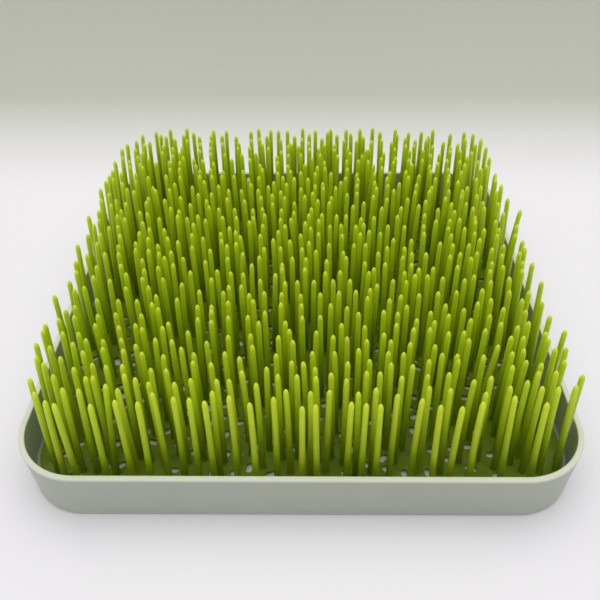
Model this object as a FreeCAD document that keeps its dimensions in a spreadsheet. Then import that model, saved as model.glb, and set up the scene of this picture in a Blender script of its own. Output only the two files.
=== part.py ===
import FreeCAD, Part
import math
import os
import random

import Sketcher

# Countertop bottle drying rack: a shallow drip tray and a lift-out insert of upright
# flexible blades that bottles, teats and small parts stand on and between.
# Millimetres, +Z up, origin at the centre of the face that the tray stands on.

SIZES = {
    "tray_width": 241.3,  # outside, across the rim
    "tray_height": 27.5,
    "tray_corner": 29.3,  # outside corner radius at the rim
    "base_width": 238.2,  # outside, at the lower edge of the drafted wall
    "base_corner": 26.5,
    "wall": 2.5,
    "floor_top": 9.2,  # height of the floor's upper face; the tray is hollow underneath
    "floor_thickness": 2.5,
    "rim_round": 0.5,
    "skirt_width": 3.0,  # solid ring under the floor, all the way round
    "foot_height": 0.8,  # the foot under the skirt holds the wall this far off the table
    "foot_inset": 1.4,  # from the wall's lower edge to the foot
    "foot_round": 0.3,
    "wall_edge_round": 0.3,  # along the wall's lower edge
    "cove_round": 1.5,  # inside, where wall meets floor
    "deck_top": 11.0,  # height of the insert's upper face
    "deck_thickness": 1.2,
    "deck_width": 231.6,
    "deck_corner": 24.5,
    "deck_edge_round": 0.5,
    "stud_radius": 2.0,  # studs that hold the deck off the tray's floor
    "stud_pitch": 50.0,
    "stud_chamfer": 0.2,
    "slot_radius": 1.5,
    "blade_height": 52.5,  # from the deck to the tip
    "blade_root_radius": 1.5,
    "blade_tip_radius": 1.15,
    "blade_root_depth": 0.5,  # below the deck, trimmed off once the blade leans
    "field_width": 227.0,  # area in which blades stand, between root centres
    "field_corner": 21.5,
}

STUDS_PER_SIDE = 5
BLADE_COUNT = 773
ROW_COUNT = 24
CANDIDATES_PER_BLADE = 26
LEAN_IN_SIDE_DEG = 3.5  # how far the outermost blades at the two sides lean in
LEAN_IN_FRONT_DEG = 2.5
LEAN_TYPICAL_DEG = 1.4  # the most that an ordinary blade leans beyond that, either way
LEAN_STRAY_DEG = 5.5  # the most that a bent one does
STRAY_SHARE = 0.05
LEAN_TRIES = 40
LEAN_EASING = 0.93  # each further try leans this much less
BLADE_CLEARANCE = 0.35  # between neighbouring blades, at any height
LONG_SLOT_TRIES = 8000  # long slots are placed first, and short ones fill in
SLOT_TRIES = 16000
SLOT_COUNT = 600
SLOT_TO_BLADE = 0.4  # deck left between a slot and a blade or stud
SLOT_TO_SLOT = 1.3
SLOT_TO_EDGE = 2.5
SLOT_SPANS = (0.4, 1.9, 3.4)  # shortest, longest short and longest, between end centres
LAYOUT_SEED = 11
CELL = 12.0  # side of the squares that nearby points are looked up in
NEAR_LEVEL = 0.01  # edges this near to a height lie at it
CUT_MARGIN = 1.0  # how far a cutting tool stands out of what it cuts


def fill_sheet(doc):
    """The driving dimensions, each in a named cell."""
    sheet = doc.addObject("Spreadsheet::Sheet", "Sizes")
    for row, (alias, value) in enumerate(SIZES.items(), start=1):
        sheet.set(f"A{row}", alias)
        sheet.set(f"B{row}", str(value))
        sheet.setAlias(f"B{row}", alias)
    doc.recompute()


def plane(body, role):
    return next(f for f in body.Origin.OriginFeatures if f.Role == role)


def rounded_square(body, name, width, corner, level):
    """A centred rounded square in a horizontal plane; its sizes are sheet expressions."""
    sketch = body.newObject("Sketcher::SketchObject", name)
    sketch.AttachmentSupport = [(plane(body, "XY_Plane"), "")]
    sketch.MapMode = "FlatFace"
    sketch.setExpression("AttachmentOffset.Base.z", level)
    half, radius = 100.0, 20.0  # start values, which the constraints replace
    reach = half - radius
    for turn in range(4):
        c, s = (1, 0, -1, 0)[turn], (0, 1, 0, -1)[turn]
        start = FreeCAD.Vector(c * half + s * reach, s * half - c * reach, 0)
        end = FreeCAD.Vector(c * half - s * reach, s * half + c * reach, 0)
        sketch.addGeometry(Part.LineSegment(start, end), False)
        centre = FreeCAD.Vector((c - s) * reach, (s + c) * reach, 0)
        circle = Part.Circle(centre, FreeCAD.Vector(0, 0, 1), radius)
        first = turn * math.pi / 2
        sketch.addGeometry(Part.ArcOfCircle(circle, first, first + math.pi / 2), False)
    for turn in range(4):
        line, arc, following = 2 * turn, 2 * turn + 1, (2 * turn + 2) % 8
        sketch.addConstraint(Sketcher.Constraint("Tangent", line, 2, arc, 1))
        sketch.addConstraint(Sketcher.Constraint("Tangent", arc, 2, following, 1))
    for line, kind in ((0, "Vertical"), (2, "Horizontal"), (4, "Vertical"), (6, "Horizontal")):
        sketch.addConstraint(Sketcher.Constraint(kind, line))
    for arc in (3, 5, 7):
        sketch.addConstraint(Sketcher.Constraint("Equal", 1, arc))
    sketch.addConstraint(Sketcher.Constraint("Symmetric", 0, 1, 4, 1, -1, 1))
    for label, constraint, expression in (
        ("across", Sketcher.Constraint("DistanceX", 4, 1, 0, 1, 2 * half), width),
        ("along", Sketcher.Constraint("DistanceY", 6, 1, 2, 1, 2 * half), width),
        ("corner", Sketcher.Constraint("Radius", 1, radius), corner),
    ):
        index = sketch.addConstraint(constraint)
        sketch.renameConstraint(index, label)
        sketch.setExpression(f"Constraints.{label}", expression)
    return sketch


def edges_at(shape, level):
    """Numbers of the edges that lie at a height."""
    boxes = [edge.BoundBox for edge in shape.Edges]
    return [
        number
        for number, box in enumerate(boxes, start=1)
        if max(abs(box.ZMin - level), abs(box.ZMax - level)) < NEAR_LEVEL
    ]


def fillet(body, base, name, edges, radius):
    feature = body.newObject("PartDesign::Fillet", name)
    feature.Base = (base, [f"Edge{number}" for number in edges])
    feature.setExpression("Radius", radius)
    body.Document.recompute()
    return feature


def loft(body, kind, name, lower, upper):
    feature = body.newObject(kind, name)
    feature.Profile = lower
    feature.Sections = [upper]
    feature.Ruled = True
    body.Document.recompute()
    return feature


def make_tray(doc):
    """Drip tray: drafted walls, a raised floor that is hollow underneath, and a narrow foot."""
    body = doc.addObject("PartDesign::Body", "drip_tray")
    base = rounded_square(
        body, "base_outline", "Sizes.base_width", "Sizes.base_corner", "Sizes.foot_height"
    )
    rim = rounded_square(
        body, "rim_outline", "Sizes.tray_width", "Sizes.tray_corner", "Sizes.tray_height"
    )
    shell = loft(body, "PartDesign::AdditiveLoft", "shell", base, rim)
    foot = body.newObject("PartDesign::Pad", "foot")
    foot.Profile = rounded_square(
        body,
        "foot_outline",
        "Sizes.base_width - 2 * Sizes.foot_inset",
        "Sizes.base_corner - Sizes.foot_inset",
        "0",
    )
    foot.setExpression("Length", "Sizes.foot_height")
    doc.recompute()
    rise = "(Sizes.floor_top - Sizes.foot_height) / (Sizes.tray_height - Sizes.foot_height)"
    draft = f"(Sizes.tray_width - Sizes.base_width) * {rise}"
    floor = rounded_square(
        body,
        "floor_outline",
        f"Sizes.base_width + {draft} - 2 * Sizes.wall",
        "Sizes.base_corner - Sizes.wall",
        "Sizes.floor_top",
    )
    mouth = rounded_square(
        body,
        "mouth_outline",
        "Sizes.tray_width - 2 * Sizes.wall",
        "Sizes.tray_corner - Sizes.wall",
        "Sizes.tray_height",
    )
    well = loft(body, "PartDesign::SubtractiveLoft", "well", floor, mouth)
    hollow_outline = rounded_square(
        body,
        "hollow_outline",
        "Sizes.base_width - 2 * Sizes.skirt_width",
        "Sizes.base_corner - Sizes.skirt_width",
        "0",
    )
    hollow = body.newObject("PartDesign::Pocket", "underside_hollow")
    hollow.Profile = hollow_outline
    hollow.Reversed = True
    hollow.setExpression("Length", "Sizes.floor_top - Sizes.floor_thickness")
    doc.recompute()
    if not hollow.Shape.Volume < well.Shape.Volume < shell.Shape.Volume < foot.Shape.Volume:
        raise RuntimeError("the tray's well or hollow cut nothing, or its foot added nothing")
    rim_edges = edges_at(hollow.Shape, SIZES["tray_height"])
    rounded_rim = fillet(body, hollow, "rim_rounds", rim_edges, "Sizes.rim_round")
    foot_edges = edges_at(rounded_rim.Shape, 0.0)
    rounded_foot = fillet(body, rounded_rim, "foot_rounds", foot_edges, "Sizes.foot_round")
    wall_edges = edges_at(rounded_foot.Shape, SIZES["foot_height"])
    rounded_wall = fillet(
        body, rounded_foot, "wall_edge_rounds", wall_edges, "Sizes.wall_edge_round"
    )
    cove_edges = edges_at(rounded_wall.Shape, SIZES["floor_top"])
    fillet(body, rounded_wall, "cove_rounds", cove_edges, "Sizes.cove_round")
    return body


def inside_field(x, y, width, corner):
    """True where a point lies in a centred rounded square."""
    half = width / 2
    dx, dy = abs(x) - (half - corner), abs(y) - (half - corner)
    if dx > 0 and dy > 0:
        return math.hypot(dx, dy) <= corner
    return dx <= corner and dy <= corner


def random_in_field(chance, width, corner):
    while True:
        x, y = (chance.uniform(-width / 2, width / 2) for _ in range(2))
        if inside_field(x, y, width, corner):
            return x, y


class Neighbours:
    """Points kept in square cells, so that only those nearby are compared."""

    def __init__(self):
        self.cells = {}

    def add(self, point, item):
        key = (int(point[0] // CELL), int(point[1] // CELL))
        self.cells.setdefault(key, []).append(item)

    def near(self, point):
        column, row = int(point[0] // CELL), int(point[1] // CELL)
        for i in (-1, 0, 1):
            for j in (-1, 0, 1):
                yield from self.cells.get((column + i, row + j), ())


def scatter_roots(chance):
    """Blade roots, each the best of some random places: the one furthest from the others."""
    roots, found = [], Neighbours()
    for _ in range(BLADE_COUNT):
        best, best_gap = None, -1.0
        for _ in range(CANDIDATES_PER_BLADE):
            spot = random_in_field(chance, SIZES["field_width"], SIZES["field_corner"])
            gap = min((math.dist(spot, other) for other in found.near(spot)), default=CELL)
            if gap > best_gap:
                best, best_gap = spot, gap
        roots.append(best)
        found.add(best, best)
    return roots


def axis_at(blade, share):
    """Centre of a blade at a share of its height."""
    x, y, lean_x, lean_y = blade
    rise = share * SIZES["blade_height"]
    return x + math.tan(lean_x) * rise, y + math.tan(lean_y) * rise


def blades_clear(one, other):
    """True if two blades keep their clearance from root to tip."""
    root, tip = SIZES["blade_root_radius"], SIZES["blade_tip_radius"]
    for share in (0.0, 0.25, 0.5, 0.75, 1.0):
        radius = root + (tip - root) * share
        gap = math.dist(axis_at(one, share), axis_at(other, share))
        if gap < 2 * radius + BLADE_CLEARANCE:
            return False
    return True


def settled_lean(x, y):
    """How far an unbent blade leans in, in x and y: most at the two sides and the front."""
    half = SIZES["field_width"] / 2
    across, back = x / half, y / half
    lean_x = -math.radians(LEAN_IN_SIDE_DEG) * across * abs(across)
    lean_y = math.radians(LEAN_IN_FRONT_DEG) * min(back, 0.0) ** 2
    return lean_x, lean_y


def lay_out_blades(chance):
    """Blades as (x, y, lean in x, lean in y), leans in radians, none touching another."""
    placed, found = [], Neighbours()
    for x, y in scatter_roots(chance):
        settled_x, settled_y = settled_lean(x, y)
        stray = chance.random() < STRAY_SHARE
        limit = math.radians(LEAN_STRAY_DEG if stray else LEAN_TYPICAL_DEG)
        for attempt in range(LEAN_TRIES):
            amount = limit * math.sqrt(chance.random()) * LEAN_EASING**attempt
            heading = chance.uniform(0, 2 * math.pi)
            lean_x = settled_x + amount * math.cos(heading)
            lean_y = settled_y + amount * math.sin(heading)
            blade = (x, y, lean_x, lean_y)
            if all(blades_clear(blade, other) for other in found.near((x, y))):
                placed.append(blade)
                found.add((x, y), blade)
                break
    return placed


def slot_points(slot):
    """Points along a slot's centreline."""
    x, y, angle, span = slot
    return [
        (x + math.cos(angle) * span * share, y + math.sin(angle) * span * share)
        for share in (-0.5, -0.25, 0.0, 0.25, 0.5)
    ]


def stud_centres():
    """Studs stand in a square grid under the deck."""
    middle = (STUDS_PER_SIDE - 1) / 2
    ranks = [(n - middle) * SIZES["stud_pitch"] for n in range(STUDS_PER_SIDE)]
    return [(x, y) for x in ranks for y in ranks]


def lay_out_slots(chance, blades):
    """Drain slots as (x, y, angle, span), in the bare places between blade roots."""
    kept_off, taken, slots = Neighbours(), Neighbours(), []
    land = SIZES["slot_radius"] + SLOT_TO_BLADE
    for blade in blades:
        kept_off.add(blade[:2], (blade[:2], SIZES["blade_root_radius"] + land))
    for centre in stud_centres():
        kept_off.add(centre, (centre, SIZES["stud_radius"] + land))
    to_slot = 2 * SIZES["slot_radius"] + SLOT_TO_SLOT
    width = SIZES["deck_width"] - 2 * (SIZES["slot_radius"] + SLOT_TO_EDGE)
    corner = SIZES["deck_corner"]
    shortest, longest_short, longest = SLOT_SPANS
    for attempt in range(SLOT_TRIES):
        x, y = random_in_field(chance, width, corner)
        limit = longest if attempt < LONG_SLOT_TRIES else longest_short
        slot = (x, y, chance.uniform(0, math.pi), chance.uniform(shortest, limit))
        points = slot_points(slot)
        if (
            all(inside_field(*p, width, corner) for p in points)
            and all(math.dist(p, c) > reach for c, reach in kept_off.near((x, y)) for p in points)
            and all(math.dist(p, t) > to_slot for p in points for t in taken.near((x, y)))
        ):
            slots.append(slot)
            for p in points:
                taken.add(p, p)
            if len(slots) == SLOT_COUNT:
                break
    return slots


def slot_prism(slot, radius, low, high):
    """A round-ended slot as a solid from one height to another."""
    x, y, angle, span = slot
    along = FreeCAD.Vector(math.cos(angle), math.sin(angle), 0)
    side = FreeCAD.Vector(-along.y, along.x, 0)
    middle = FreeCAD.Vector(x, y, low)
    right, left = middle + along * (span / 2), middle - along * (span / 2)
    out, across = along * radius, side * radius
    outline = [
        Part.Arc(right - across, right + out, right + across),
        Part.LineSegment(right + across, left + across),
        Part.Arc(left + across, left - out, left - across),
        Part.LineSegment(left - across, right - across),
    ]
    wire = Part.Wire([curve.toShape() for curve in outline])
    return Part.Face(wire).extrude(FreeCAD.Vector(0, 0, high - low))


def make_deck(doc, slots):
    """The insert's deck: a flat plate with a rounded edge, pierced by the drain slots."""
    body = doc.addObject("PartDesign::Body", "deck_blank")
    outline = rounded_square(
        body,
        "deck_outline",
        "Sizes.deck_width",
        "Sizes.deck_corner",
        "Sizes.deck_top - Sizes.deck_thickness",
    )
    plate = body.newObject("PartDesign::Pad", "plate")
    plate.Profile = outline
    plate.setExpression("Length", "Sizes.deck_thickness")
    doc.recompute()
    top = SIZES["deck_top"]
    fillet(body, plate, "edge_rounds", edges_at(plate.Shape, top), "Sizes.deck_edge_round")
    low, high = top - SIZES["deck_thickness"] - CUT_MARGIN, top + CUT_MARGIN
    prisms = [slot_prism(slot, SIZES["slot_radius"], low, high) for slot in slots]
    tool = doc.addObject("Part::Feature", "drain_slots")
    tool.Shape = Part.makeCompound(prisms)
    deck = doc.addObject("Part::Cut", "grass_deck")
    deck.Base, deck.Tool = body, tool
    return deck


def make_studs(doc):
    """Short studs under the deck, which hold it just off the tray's floor."""
    blank = doc.addObject("Part::Cylinder", "stud_blank")
    blank.setExpression("Radius", "Sizes.stud_radius")
    blank.setExpression("Height", "Sizes.deck_top - Sizes.deck_thickness - Sizes.floor_top")
    blank.setExpression("Placement.Base.z", "Sizes.floor_top")
    doc.recompute()
    lower_edge, setback = edges_at(blank.Shape, SIZES["floor_top"]), SIZES["stud_chamfer"]
    chamfered = doc.addObject("Part::Chamfer", "stud_chamfered")
    chamfered.Base = blank
    chamfered.Edges = [(number, setback, setback) for number in lower_edge]
    doc.recompute()
    studs = []
    for x, y in stud_centres():
        stud = chamfered.Shape.copy()
        stud.translate(FreeCAD.Vector(x, y, 0))
        studs.append(stud)
    feature = doc.addObject("Part::Feature", "deck_studs")
    feature.Shape = Part.makeCompound(studs)
    return feature


def make_blade_blank(doc):
    """One upright blade, a slim cone with a round tip, turned about the Z axis."""
    body = doc.addObject("PartDesign::Body", "blade_blank")
    sketch = body.newObject("Sketcher::SketchObject", "blade_profile")
    sketch.AttachmentSupport = [(plane(body, "XZ_Plane"), "")]
    sketch.MapMode = "FlatFace"
    root, tip = SIZES["blade_root_radius"], SIZES["blade_tip_radius"]
    foot, top = -SIZES["blade_root_depth"], SIZES["blade_height"]
    shoulder = top - tip
    flank = math.atan2(root - tip, shoulder)  # the flank leans in by this angle
    corner = FreeCAD.Vector(tip * math.cos(flank), shoulder + tip * math.sin(flank), 0)
    dome = Part.Circle(FreeCAD.Vector(0, shoulder, 0), FreeCAD.Vector(0, 0, 1), tip)
    base_centre, base_edge = FreeCAD.Vector(0, foot, 0), FreeCAD.Vector(root, foot, 0)
    sketch.addGeometry(Part.LineSegment(base_centre, base_edge), False)
    sketch.addGeometry(Part.LineSegment(base_edge, corner), False)
    sketch.addGeometry(Part.ArcOfCircle(dome, flank, math.pi / 2), False)
    sketch.addGeometry(Part.LineSegment(FreeCAD.Vector(0, top, 0), base_centre), False)
    for line, following in ((0, 1), (3, 0)):
        sketch.addConstraint(Sketcher.Constraint("Coincident", line, 2, following, 1))
    sketch.addConstraint(Sketcher.Constraint("Tangent", 1, 2, 2, 1))
    sketch.addConstraint(Sketcher.Constraint("Coincident", 2, 2, 3, 1))
    sketch.addConstraint(Sketcher.Constraint("Horizontal", 0))
    sketch.addConstraint(Sketcher.Constraint("PointOnObject", 0, 1, -2))
    sketch.addConstraint(Sketcher.Constraint("PointOnObject", 3, 1, -2))
    sketch.addConstraint(Sketcher.Constraint("PointOnObject", 2, 3, -2))
    for label, constraint, expression in (
        ("root", Sketcher.Constraint("DistanceX", 0, 1, 0, 2, root), "Sizes.blade_root_radius"),
        ("depth", Sketcher.Constraint("DistanceY", 0, 1, -1, 1, -foot), "Sizes.blade_root_depth"),
        ("height", Sketcher.Constraint("DistanceY", -1, 1, 3, 1, top), "Sizes.blade_height"),
        ("dome", Sketcher.Constraint("Radius", 2, tip), "Sizes.blade_tip_radius"),
    ):
        index = sketch.addConstraint(constraint)
        sketch.renameConstraint(index, label)
        sketch.setExpression(f"Constraints.{label}", expression)
    turned = body.newObject("PartDesign::Revolution", "turned")
    turned.Profile = sketch
    turned.ReferenceAxis = (sketch, ["V_Axis"])
    turned.Angle = 360
    doc.recompute()
    return body


def leaning_blade(blank, blade, below_deck):
    """The blank set on its root, leaning, and trimmed level with the deck."""
    x, y, lean_x, lean_y = blade
    heading = FreeCAD.Vector(math.tan(lean_x), math.tan(lean_y), 1)
    tilt = FreeCAD.Rotation(FreeCAD.Vector(0, 0, 1), heading)
    placed = blank.copy()
    placed.Placement = FreeCAD.Placement(FreeCAD.Vector(x, y, SIZES["deck_top"]), tilt)
    return placed.cut(below_deck)


def make_blade_rows(doc, blades):
    """Blades in rows from front to back, each row a node of separate solids."""
    blank = make_blade_blank(doc).Shape
    span = SIZES["tray_width"]
    corner = FreeCAD.Vector(-span / 2, -span / 2, 0)
    below_deck = Part.makeBox(span, span, SIZES["deck_top"], corner)
    ordered = sorted(blades, key=lambda blade: blade[1])
    rows = []
    for number in range(ROW_COUNT):
        first = number * len(ordered) // ROW_COUNT
        last = (number + 1) * len(ordered) // ROW_COUNT
        solids = []
        for blade in ordered[first:last]:
            solids += leaning_blade(blank, blade, below_deck).Solids
        row = doc.addObject("Part::Feature", f"blade_row_{number + 1:02d}")
        row.Shape = Part.makeCompound(solids)
        rows.append(row)
    return rows


def check(doc, nodes):
    """Stops if any object failed or any sub-part is not a sound solid."""
    for item in doc.Objects:
        if "Invalid" in item.State or "Error" in item.State:
            raise RuntimeError(f"{item.Name} is in state {item.State}")
    for node in nodes:
        shape = node.Shape
        if shape.isNull() or not shape.isValid() or not shape.Solids:
            raise RuntimeError(f"{node.Label} is not a valid solid")


def main():
    doc = FreeCAD.newDocument("drying_rack")
    fill_sheet(doc)
    chance = random.Random(LAYOUT_SEED)
    blades = lay_out_blades(chance)
    slots = lay_out_slots(chance, blades)
    nodes = [make_tray(doc), make_deck(doc, slots), make_studs(doc), *make_blade_rows(doc, blades)]
    doc.recompute()
    check(doc, nodes)
    os.makedirs("parts", exist_ok=True)
    for node in nodes:
        node.Shape.exportStep(os.path.join("parts", f"{node.Label}.step"))
        solids = len(node.Shape.Solids)
        print(f"{node.Label}: {solids} solids, {node.Shape.Volume / 1000:.1f} cm3")
    print(f"{len(blades)} blades, {len(slots)} drain slots")


main()
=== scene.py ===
import math
import random

import bpy
from mathutils import Matrix, Vector


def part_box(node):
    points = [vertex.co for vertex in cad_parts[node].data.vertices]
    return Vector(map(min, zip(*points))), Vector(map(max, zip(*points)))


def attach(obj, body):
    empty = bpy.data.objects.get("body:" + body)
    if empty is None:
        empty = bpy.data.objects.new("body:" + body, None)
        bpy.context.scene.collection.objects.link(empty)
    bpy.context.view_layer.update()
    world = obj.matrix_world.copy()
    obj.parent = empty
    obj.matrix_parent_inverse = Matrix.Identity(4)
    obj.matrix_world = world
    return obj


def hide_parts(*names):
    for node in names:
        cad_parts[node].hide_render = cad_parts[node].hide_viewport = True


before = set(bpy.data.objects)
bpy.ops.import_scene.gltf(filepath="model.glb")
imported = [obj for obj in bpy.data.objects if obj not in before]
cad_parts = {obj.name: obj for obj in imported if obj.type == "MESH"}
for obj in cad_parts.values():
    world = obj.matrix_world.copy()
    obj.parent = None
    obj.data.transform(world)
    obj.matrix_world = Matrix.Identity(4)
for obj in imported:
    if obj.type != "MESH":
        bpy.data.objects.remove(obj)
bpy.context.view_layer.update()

# Looks of a countertop bottle drying rack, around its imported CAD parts. Metres, +Z up.
# The tray and every row of blades are replaced by finer pieces; the deck and studs are CAD.

MM = 0.001
BLADE_SEED = 20
chance = random.Random(BLADE_SEED)  # draws each blade's length, bow and tone

# Camera: where the photograph was taken from, in the part's frame.
CAMERA_PLACE = Vector((4.2, -273.1, 255.5)) * MM
CAMERA_PITCH_DEG = 41.0  # below the horizon
CAMERA_YAW_DEG = -1.08
CAMERA_ROLL_DEG = 0.72
CAMERA_LENS_MM = 39.96
SENSOR_MM = 36.0

# Tray, as in the CAD, with a cove added in the hollow underneath.
TRAY_CORNER = 29.3 * MM  # at the rim
TRAY_TAPER = 1.55 * MM  # how far each wall draws in from the rim to its lower edge
TRAY_BASE_CORNER = 26.5 * MM
TRAY_WALL = 2.5 * MM
TRAY_FLOOR_TOP = 9.2 * MM
TRAY_FLOOR = 2.5 * MM  # its thickness
TRAY_RIM_ROUND = 0.5 * MM
TRAY_COVE = 1.5 * MM
SKIRT = 3.0 * MM  # from the wall's lower edge in to the hollow
FOOT_HEIGHT = 0.8 * MM
FOOT_INSET = 1.4 * MM  # from the wall's lower edge in to the foot
FOOT_ROUND = 0.3 * MM
WALL_EDGE_ROUND = 0.3 * MM
HOLLOW_COVE = 0.8 * MM  # where the hollow's ceiling meets the skirt
PALE_FROM = 4.0 * MM  # from the wall to where painted light on the floor starts
PALE_FULL = 7.0 * MM  # and to where it is palest

# How much the tray is painted pale, from 0 to 1: painted light on the rim's top and on the floor
# under the deck, and rubbed wear on the foot and the wall's lower edge.
RIM_PAINTED_LIGHT = 1.0
FLOOR_PAINTED_LIGHT = 0.7
FOOT_RUB = 0.3
WALL_EDGE_RUB = 0.2

# Fineness of the tray's mesh.
SIDE_STEPS = 12
CORNER_STEPS = 20
HOLLOW_COVE_STEPS = 4
FOOT_STEPS = 4
WALL_EDGE_STEPS = 5
RIM_STEPS = 6
COVE_STEPS = 7
OUTER_SHARES = (0.04, 0.12, 0.3, 0.5, 0.7, 0.88, 0.96)  # of the way up the wall's outside
INNER_SHARES = (0.04, 0.15, 0.4, 0.7)  # of the way down its inside

# Blades, very slightly slimmer than the CAD's.
BLADE_SIDES = 18
BLADE_ROOT = 1.48 * MM
BLADE_TIP = 1.14 * MM
BLADE_BULLET = 2.9 * MM  # length of the rounded point
BULLET_POWER = 0.6  # at 0.5 its outline would be an ellipse, and above that it is sharper
MIDDLE = 0.55  # the share of the height where a blade has its middle colour
HIGHLIGHT_CAP_START = 0.955  # the painted highlight on the cap at the tip starts at this share of the height
BLADE_FLARE = 0.35 * MM  # the fillet at the root stands out by this
BLADE_FLARE_HEIGHT = 0.45 * MM
BLADE_SINK = 0.4 * MM  # the mesh starts this far inside the deck
BLADE_SHORTEST = 0.975  # of the full length
BLADE_BEND = 0.5 * MM  # how far the middle of a blade bows out at most
LEAST_BEND = 0.1  # of that
BEND_WAVES = 26.0  # neighbours bow alike: radians per metre from left to right
BEND_SWING = 1.7  # radians either way from front to back
BEND_SWING_WAVES = 1.3  # of BEND_WAVES
ROOT_LEVEL = 0.05 * MM  # points this near to the deck's top are a blade's root
# Where a blade's mesh has its rings of points: above the deck, and as shares of two lengths.
ROOT_HEIGHTS = (-BLADE_SINK, 0.0, 0.25 * MM, 0.6 * MM, 1.2 * MM, 2.4 * MM)
STEM_SHARES = (0.14, 0.26, 0.38, 0.5, 0.62, 0.74, 0.85)  # of the blade's length
POINT_SHARES = (0.0, 0.25, 0.45, 0.62, 0.76, 0.87, 0.95, 0.99)  # of the rounded point's

# Backdrop and light.
BOARD_WIDTH = 6.0
BOARD_FRONT = -3.0
BOARD_SPLIT = -0.3  # a line of points here, so that the floor in front of it is shaded flat
BOARD_BACK = 0.13  # where the board starts to sweep up
SWEEP_RADIUS = 0.2
SWEEP_STEPS = 24
BOARD_TOP = 0.3
SHADE_FROM, SHADE_TO = 0.0, 0.03  # heights between which painted shade takes the board from white to grey
LAMP_PLACE = (0.0, 0.0, 1.2)
LAMP_SIZE = (2.0, 1.8)
LAMP_WATTS = 15.0
LAMP_COLOUR = (1.0, 0.99, 0.98)
ROOM_COLOUR = (0.93, 0.96, 1.0, 1.0)
ROOM_STRENGTH = 0.38


def material(name):
    """A new material, its nodes and its links."""
    made = bpy.data.materials.new(name)
    made.use_nodes = True
    return made, made.node_tree.nodes, made.node_tree.links


def socket_set(node, **values):
    """Sets a node's inputs by name, with _ for a space."""
    for name, value in values.items():
        node.inputs[name.replace("_", " ")].default_value = value


def srgb(red, green, blue):
    """A colour given as 0 to 255 display values, as the linear values that shaders take."""
    def linear(value):
        share = value / 255
        return share / 12.92 if share <= 0.04045 else ((share + 0.055) / 1.055) ** 2.4
    return (linear(red), linear(green), linear(blue), 1.0)


# Blade colours by height: the roots are painted darker as shade, the upper parts paler as painted
# light, and the caps paler still as a painted highlight.
SHADED_ROOT_GREEN = srgb(110, 131, 3)
MIDDLE_GREEN = srgb(170, 192, 10)
LIT_UPPER_GREEN = srgb(221, 240, 42)
HIGHLIGHT_CAP_GREEN = srgb(236, 252, 84)
TONE_GREEN = srgb(212, 222, 52)  # single blades differ by being nearer to this
CLOUD_GREEN = srgb(152, 178, 14)
SAGE = srgb(184, 189, 175)
CLOUD_SAGE = srgb(175, 182, 166)
SPECK_SAGE = srgb(164, 167, 154)
# Paler sage: rubbed wear at the foot and lower edge, and painted light on the rim and the floor.
RUBBED_AND_LIT_SAGE = srgb(226, 228, 208)
BOARD_WHITE = srgb(248, 245, 248)
# Painted shade on the board where it sweeps up.
SHADED_BOARD_GREY = srgb(202, 204, 190)


def noise(nodes, links, scale, detail=3.0, roughness=0.5):
    """Cloudy noise fixed to the object; scale is about the number of patches in a metre."""
    coordinates = nodes.new("ShaderNodeTexCoord")
    texture = nodes.new("ShaderNodeTexNoise")
    socket_set(texture, Scale=scale, Detail=detail, Roughness=roughness)
    links.new(coordinates.outputs["Object"], texture.inputs["Vector"])
    return texture.outputs["Fac"]


def spread(nodes, links, value, from_low, from_high, to_low, to_high):
    """A value brought from one range to another, held at its ends."""
    remap = nodes.new("ShaderNodeMapRange")
    for name, number in (
        ("From Min", from_low),
        ("From Max", from_high),
        ("To Min", to_low),
        ("To Max", to_high),
    ):
        remap.inputs[name].default_value = number
    links.new(value, remap.inputs["Value"])
    return remap.outputs["Result"]


def mixed(nodes, links, share, first, second):
    """A colour between two; each is a colour or a node's output, and share is an output."""
    mix = nodes.new("ShaderNodeMix")
    mix.data_type = "RGBA"
    links.new(share, mix.inputs["Factor"])
    for name, colour in (("A", first), ("B", second)):
        port = next(i for i in mix.inputs if i.name == name and i.type == "RGBA")
        if isinstance(colour, tuple):
            port.default_value = colour
        else:
            links.new(colour, port)
    return next(o for o in mix.outputs if o.type == "RGBA")


def bumped(nodes, links, layers):
    """Surface relief from several heights, each (output, depth in metres, strength)."""
    normal = None
    for height, depth, strength in layers:
        bump = nodes.new("ShaderNodeBump")
        socket_set(bump, Strength=strength, Distance=depth)
        links.new(height, bump.inputs["Height"])
        if normal is not None:
            links.new(normal, bump.inputs["Normal"])
        normal = bump.outputs["Normal"]
    return normal


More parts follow.
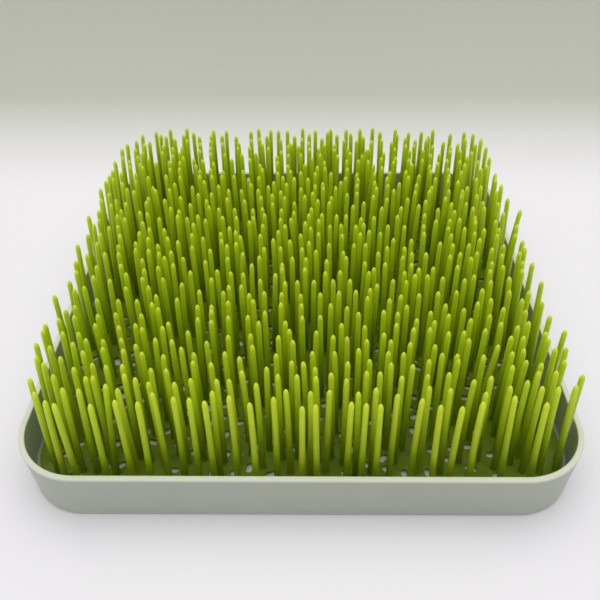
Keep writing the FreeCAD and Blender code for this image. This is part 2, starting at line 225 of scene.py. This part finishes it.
def insert_plastic():
    """Soft satin yellow-green plastic, with painted shade at a blade's root and painted light and
    a painted highlight towards its tip.
    """
    made, nodes, links = material("insert_plastic")
    shader = nodes["Principled BSDF"]
    rise = nodes.new("ShaderNodeAttribute")
    rise.attribute_name = "rise"
    tone = nodes.new("ShaderNodeAttribute")
    tone.attribute_name = "tone"
    # Painted shade darkens the root and painted light pales the upper part, by the share of the
    # height.
    stem = spread(nodes, links, rise.outputs["Fac"], 0.0, MIDDLE, 0.0, 1.0)
    point = spread(nodes, links, rise.outputs["Fac"], MIDDLE, 1.0, 0.0, 1.0)
    shaded_lower = mixed(nodes, links, stem, SHADED_ROOT_GREEN, MIDDLE_GREEN)
    lit_upper = mixed(nodes, links, point, shaded_lower, LIT_UPPER_GREEN)
    # A painted highlight on the cap at the tip.
    highlight_share = spread(nodes, links, rise.outputs["Fac"], HIGHLIGHT_CAP_START, 1.0, 0.0, 1.0)
    body = mixed(nodes, links, highlight_share, lit_upper, HIGHLIGHT_CAP_GREEN)
    own = spread(nodes, links, tone.outputs["Fac"], 0.0, 1.0, 0.0, 0.35)
    toned = mixed(nodes, links, own, body, TONE_GREEN)
    cloud = spread(nodes, links, noise(nodes, links, 140.0), 0.35, 0.7, 0.0, 0.22)
    coloured = mixed(nodes, links, cloud, toned, CLOUD_GREEN)
    links.new(coloured, shader.inputs["Base Color"])
    # The gloss varies over half a millimetre, and the surface is grained and faintly wavy.
    fine = noise(nodes, links, 1900.0, 2.0)
    links.new(spread(nodes, links, fine, 0.3, 0.7, 0.36, 0.5), shader.inputs["Roughness"])
    grain = noise(nodes, links, 3600.0, 2.0)
    swell = noise(nodes, links, 260.0, 1.0)
    relief = bumped(nodes, links, ((swell, 0.25 * MM, 0.35), (grain, 0.03 * MM, 0.25)))
    links.new(relief, shader.inputs["Normal"])
    shader.inputs["Subsurface Weight"].default_value = 0.75
    shader.inputs["Subsurface Radius"].default_value = (1.0, 1.2, 0.25)
    shader.inputs["Subsurface Scale"].default_value = 1.6 * MM
    shader.inputs["IOR"].default_value = 1.45
    shader.inputs["Specular IOR Level"].default_value = 0.35
    return made


def tray_plastic():
    """Pale sage moulded plastic: satin, with a fine grain, faint clouding, rubbed edges, and
    painted light on the rim and the floor.
    """
    made, nodes, links = material("tray_plastic")
    shader = nodes["Principled BSDF"]
    rub_and_light = nodes.new("ShaderNodeAttribute")
    rub_and_light.attribute_name = "rub_and_light"
    cloud = spread(nodes, links, noise(nodes, links, 22.0, 4.0), 0.3, 0.7, 0.0, 0.35)
    body = mixed(nodes, links, cloud, SAGE, CLOUD_SAGE)
    specks = spread(nodes, links, noise(nodes, links, 420.0, 2.0), 0.68, 0.78, 0.0, 0.12)
    dusted = mixed(nodes, links, specks, body, SPECK_SAGE)
    # Paler where rubbed, and where light is painted on the rim and the floor.
    rubbed_and_lit = mixed(nodes, links, rub_and_light.outputs["Fac"], dusted, RUBBED_AND_LIT_SAGE)
    links.new(rubbed_and_lit, shader.inputs["Base Color"])
    # The gloss varies over a finger's width. The walls are grained and sink in very slightly.
    wear = noise(nodes, links, 60.0, 5.0, 0.6)
    links.new(spread(nodes, links, wear, 0.3, 0.7, 0.3, 0.42), shader.inputs["Roughness"])
    grain = noise(nodes, links, 2600.0, 2.0)
    sink = noise(nodes, links, 18.0, 1.0)
    relief = bumped(nodes, links, ((sink, 0.6 * MM, 0.1), (grain, 0.02 * MM, 0.2)))
    links.new(relief, shader.inputs["Normal"])
    shader.inputs["IOR"].default_value = 1.47
    shader.inputs["Specular IOR Level"].default_value = 0.5
    shader.inputs["Subsurface Weight"].default_value = 0.06
    shader.inputs["Subsurface Radius"].default_value = (1.0, 0.9, 0.7)
    shader.inputs["Subsurface Scale"].default_value = 1.0 * MM
    return made


def backdrop_paint():
    """White board, with painted shade turning it grey where it starts to sweep up."""
    made, nodes, links = material("backdrop_paint")
    shader = nodes["Principled BSDF"]
    place = nodes.new("ShaderNodeTexCoord")
    split = nodes.new("ShaderNodeSeparateXYZ")
    links.new(place.outputs["Object"], split.inputs["Vector"])
    # Painted shade: the board greys as it rises.
    climb = spread(nodes, links, split.outputs["Z"], SHADE_FROM, SHADE_TO, 0.0, 1.0)
    paint = mixed(nodes, links, climb, BOARD_WHITE, SHADED_BOARD_GREY)
    links.new(paint, shader.inputs["Base Color"])
    shader.inputs["Roughness"].default_value = 0.6
    shader.inputs["Specular IOR Level"].default_value = 0.25
    return made


def mesh_object(name, points, faces, paint, attributes=()):
    """A smooth-shaded object; each attribute is a name and one value for each point."""
    mesh = bpy.data.meshes.new(name)
    mesh.from_pydata(points, [], faces)
    mesh.update()
    for label, values in attributes:
        layer = mesh.attributes.new(label, "FLOAT", "POINT")
        layer.data.foreach_set("value", values)
    mesh.shade_smooth()
    made = bpy.data.objects.new(name, mesh)
    made.data.materials.append(paint)
    bpy.context.scene.collection.objects.link(made)
    return made


def bands(rings, size):
    """Quads between successive rings of the same size, and no caps."""
    faces = []
    for ring in range(rings - 1):
        low, high = ring * size, (ring + 1) * size
        for i in range(size):
            j = (i + 1) % size
            faces.append((low + i, low + j, high + j, high + i))
    return faces


def rounded_ring(half, corner, level):
    """Points once round a centred rounded square, anticlockwise from above."""
    reach = half - corner
    points = []
    for turn in range(4):
        middle = turn * math.pi / 2
        c, s = round(math.cos(middle)), round(math.sin(middle))
        for step in range(1, SIDE_STEPS):
            along = reach * (2 * step / SIDE_STEPS - 1)
            points.append((c * half - s * along, s * half + c * along, level))
        centre = ((c - s) * reach, (s + c) * reach)
        for step in range(CORNER_STEPS + 1):
            angle = middle + (math.pi / 2) * step / CORNER_STEPS
            x = centre[0] + corner * math.cos(angle)
            y = centre[1] + corner * math.sin(angle)
            points.append((x, y, level))
    return points


def quarter(steps):
    """Angles of a quarter turn, from 0 to 90 degrees."""
    return [math.pi / 2 * step / steps for step in range(steps + 1)]


def tray_profile(height):
    """The tray's section from its underside's middle, out, up, over the rim and in again.
    Each entry is (inset from the outside at the rim, height, how much it is painted pale: rubbed
    wear at the foot and lower edge, painted light on the rim and the floor)."""
    base = TRAY_TAPER
    slope = TRAY_TAPER / (height - FOOT_HEIGHT)
    ceiling = TRAY_FLOOR_TOP - TRAY_FLOOR
    inside, outside = base + SKIRT, base + FOOT_INSET
    section = [
        (inside + HOLLOW_COVE * (1 - math.sin(a)), ceiling - HOLLOW_COVE * (1 - math.cos(a)), 0)
        for a in quarter(HOLLOW_COVE_STEPS)
    ]
    section += [
        (inside - FOOT_ROUND * (1 - math.cos(a)), FOOT_ROUND * (1 - math.sin(a)), FOOT_RUB)
        for a in quarter(FOOT_STEPS)
    ]
    section += [
        (outside + FOOT_ROUND * (1 - math.sin(a)), FOOT_ROUND * (1 - math.cos(a)), FOOT_RUB)
        for a in quarter(FOOT_STEPS)
    ]
    section.append((outside, FOOT_HEIGHT, 0))
    for a in quarter(WALL_EDGE_STEPS):
        inset = base + WALL_EDGE_ROUND * (1 - math.sin(a)) - slope * WALL_EDGE_ROUND
        level = FOOT_HEIGHT + WALL_EDGE_ROUND * (1 - math.cos(a))
        section.append((inset, level, WALL_EDGE_RUB))
    wall_low, wall_top = FOOT_HEIGHT + WALL_EDGE_ROUND, height - TRAY_RIM_ROUND
    for share in OUTER_SHARES:
        level = wall_low + (wall_top - wall_low) * share
        section.append((base - slope * (level - FOOT_HEIGHT), level, 0))
    # Over the rim, which carries painted light.
    for a in quarter(RIM_STEPS):
        inset = TRAY_RIM_ROUND * (1 - math.cos(a))
        section.append((inset, wall_top + TRAY_RIM_ROUND * math.sin(a), RIM_PAINTED_LIGHT))
    for a in quarter(RIM_STEPS):
        inset = TRAY_WALL - TRAY_RIM_ROUND * (1 - math.sin(a))
        section.append((inset, wall_top + TRAY_RIM_ROUND * math.cos(a), RIM_PAINTED_LIGHT))
    cove_top = TRAY_FLOOR_TOP + TRAY_COVE
    for share in INNER_SHARES:
        level = wall_top + (cove_top - wall_top) * share
        section.append((TRAY_WALL + slope * (height - level), level, 0))
    inner = TRAY_WALL + slope * (height - cove_top)
    section += [
        (inner + TRAY_COVE * (1 - math.cos(a)), cove_top - TRAY_COVE * math.sin(a), 0)
        for a in quarter(COVE_STEPS)
    ]
    # The floor: painted light pales it away from the wall.
    section.append((inner + PALE_FROM, TRAY_FLOOR_TOP, 0))
    section.append((inner + PALE_FULL, TRAY_FLOOR_TOP, FLOOR_PAINTED_LIGHT))
    return section


def make_tray(paint):
    """Drip tray: one closed skin lofted round the square from its section."""
    low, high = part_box("drip_tray")
    half, height = (high.x - low.x) / 2, high.z - low.z
    points, rubs_and_lights = [], []
    section = tray_profile(height)
    for inset, level, rub_and_light in section:
        climb = max(level - FOOT_HEIGHT, 0.0) / (height - FOOT_HEIGHT)
        corner = TRAY_BASE_CORNER + (TRAY_CORNER - TRAY_BASE_CORNER) * climb
        from_outside = max(inset - TRAY_TAPER * (1 - climb), 0)
        ring = rounded_ring(half - inset, corner - from_outside, low.z + level)
        points += ring
        rubs_and_lights += [rub_and_light] * len(ring)
    size = len(points) // len(section)
    faces = bands(len(section), size)
    faces.append(tuple(reversed(range(size))))
    faces.append(tuple(range(len(points) - size, len(points))))
    tray = mesh_object("drip_tray_shell", points, faces, paint, (("rub_and_light", rubs_and_lights),))
    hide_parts("drip_tray")
    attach(tray, "tray")


def islands(node):
    """A node's separate solids, as lists of their points, found through the mesh's edges."""
    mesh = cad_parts[node].data
    first_at, same = {}, []
    for vertex in mesh.vertices:
        key = tuple(round(value * 1e6) for value in vertex.co)
        same.append(first_at.setdefault(key, vertex.index))
    leader = list(range(len(same)))

    def lead(index):
        while leader[index] != index:
            leader[index] = leader[leader[index]]
            index = leader[index]
        return index

    for edge in mesh.edges:
        a, b = (lead(same[index]) for index in edge.vertices)
        leader[a] = b
    groups = {}
    for index in sorted(set(same)):
        groups.setdefault(lead(index), []).append(mesh.vertices[index].co.copy())
    return list(groups.values())


def blade_axes(node, deck_top):
    """Root and tip of each blade in a row, from front left onwards."""
    axes = []
    for points in islands(node):
        base = [p for p in points if abs(p.z - deck_top) < ROOT_LEVEL]
        root = Vector((
            (min(p.x for p in base) + max(p.x for p in base)) / 2,
            (min(p.y for p in base) + max(p.y for p in base)) / 2,
            deck_top,
        ))
        axes.append((root, max(points, key=lambda p: p.z)))
    return sorted(axes, key=lambda axis: (round(axis[0].y, 6), round(axis[0].x, 6)))


def blade_radius(height, length):
    """A blade's radius at a height: a fillet at the root, a slight taper, a bullet point."""
    share = max(0.0, height / length)
    radius = BLADE_ROOT + (BLADE_TIP - BLADE_ROOT) * share
    radius += BLADE_FLARE * math.exp(-max(height, 0.0) / BLADE_FLARE_HEIGHT)
    into_point = (height - (length - BLADE_BULLET)) / BLADE_BULLET
    if into_point > 0:
        radius *= (1 - into_point**2) ** BULLET_POWER
    return radius


def add_blade(points, faces, rise, tone, root, tip):
    """One blade, bowed a little, ending in a rounded point at the CAD tip or just under it."""
    length = (tip - root).length * chance.uniform(BLADE_SHORTEST, 1.0)
    along = (tip - root).normalized()
    side = Vector((1, 0, 0)) - along * along.x
    side.normalize()
    front = along.cross(side)
    wave = BEND_WAVES * root.x
    wave += BEND_SWING * math.sin(BEND_WAVES * root.y * BEND_SWING_WAVES)
    bow = (side * math.cos(wave) + front * math.sin(wave)) * BLADE_BEND
    bow = bow * chance.uniform(LEAST_BEND, 1)
    own = chance.random() ** 2
    heights = list(ROOT_HEIGHTS)
    heights += [length * share for share in STEM_SHARES]
    heights += [length - BLADE_BULLET * (1 - share) for share in POINT_SHARES]
    first = len(points)
    for height in heights:
        share = max(height, 0.0) / length
        centre = root + along * height + bow * (4 * share * (1 - share))
        radius = blade_radius(height, length)
        for step in range(BLADE_SIDES):
            angle = 2 * math.pi * step / BLADE_SIDES
            across, ahead = radius * math.cos(angle), radius * math.sin(angle)
            points.append(centre + side * across + front * ahead)
        rise += [share] * BLADE_SIDES
    points.append(root + along * length)
    rise.append(1.0)
    tone += [own] * (len(heights) * BLADE_SIDES + 1)
    for face in bands(len(heights), BLADE_SIDES):
        faces.append(tuple(first + index for index in face))
    last, peak = first + (len(heights) - 1) * BLADE_SIDES, len(points) - 1
    for i in range(BLADE_SIDES):
        faces.append((last + i, last + (i + 1) % BLADE_SIDES, peak))
    faces.append(tuple(first + i for i in reversed(range(BLADE_SIDES))))


def make_blades(paint, deck_top):
    """A finer piece for each row of blades."""
    for node in sorted(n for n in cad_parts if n.startswith("blade_row")):
        points, faces, rise, tone = [], [], [], []
        for root, tip in blade_axes(node, deck_top):
            add_blade(points, faces, rise, tone, root, tip)
        row = mesh_object(
            node.replace("row", "tuft"), points, faces, paint, (("rise", rise), ("tone", tone))
        )
        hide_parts(node)
        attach(row, "insert")


def paint_node(name, paint):
    """Gives a CAD node its material and leaves its mesh as it is."""
    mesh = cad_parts[name].data
    mesh.materials.clear()
    mesh.materials.append(paint)


def make_backdrop(paint):
    """White board that sweeps up behind the rack."""
    profile = [(BOARD_FRONT, 0.0), (BOARD_SPLIT, 0.0), (BOARD_BACK, 0.0)]
    profile += [
        (BOARD_BACK + SWEEP_RADIUS * math.sin(a), SWEEP_RADIUS * (1 - math.cos(a)))
        for a in quarter(SWEEP_STEPS)[1:]
    ]
    profile.append((BOARD_BACK + SWEEP_RADIUS, BOARD_TOP))
    points = [(x, y, z) for y, z in profile for x in (-BOARD_WIDTH / 2, BOARD_WIDTH / 2)]
    faces = [(2 * i, 2 * i + 1, 2 * i + 3, 2 * i + 2) for i in range(len(profile) - 1)]
    board = mesh_object("backdrop", points, faces, paint)


def area_light(name, place, target, size, power, colour):
    """A rectangular lamp that faces a point."""
    lamp = bpy.data.lights.new(name, "AREA")
    lamp.shape = "RECTANGLE"
    lamp.size, lamp.size_y = size
    lamp.energy = power
    lamp.color = colour
    holder = bpy.data.objects.new(name, lamp)
    holder.location = place
    heading = Vector(target) - Vector(place)
    holder.rotation_euler = heading.to_track_quat("-Z", "Y").to_euler()
    bpy.context.scene.collection.objects.link(holder)


def make_lights():
    """A broad lamp straight overhead and a pale room all round."""
    area_light("overhead", LAMP_PLACE, (0, 0, 0), LAMP_SIZE, LAMP_WATTS, LAMP_COLOUR)
    world = bpy.data.worlds.new("room")
    world.use_nodes = True
    sky = world.node_tree.nodes["Background"]
    sky.inputs["Color"].default_value = ROOM_COLOUR
    sky.inputs["Strength"].default_value = ROOM_STRENGTH
    bpy.context.scene.world = world
    bpy.context.scene.view_settings.view_transform = "Standard"


def make_camera():
    """The photograph's view: its centre is the lens's, and nothing is shifted."""
    camera = bpy.data.cameras.new("camera")
    camera.sensor_width = SENSOR_MM
    camera.lens = CAMERA_LENS_MM
    camera.clip_start = 0.01
    holder = bpy.data.objects.new("camera", camera)
    pitch, yaw, roll = (
        math.radians(angle) for angle in (CAMERA_PITCH_DEG, CAMERA_YAW_DEG, CAMERA_ROLL_DEG)
    )
    turn = Matrix.Rotation(-yaw, 4, "Z") @ Matrix.Rotation(math.pi / 2 - pitch, 4, "X")
    holder.matrix_world = Matrix.Translation(CAMERA_PLACE) @ turn @ Matrix.Rotation(-roll, 4, "Z")
    bpy.context.scene.collection.objects.link(holder)
    bpy.context.scene.camera = holder


make_camera()
green = insert_plastic()
make_tray(tray_plastic())
deck_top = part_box("grass_deck")[1].z
make_blades(green, deck_top)
# The deck and studs have no rise, so they take the painted shade of the blades' roots.
for node in ("grass_deck", "deck_studs"):
    paint_node(node, green)
make_backdrop(backdrop_paint())
make_lights()
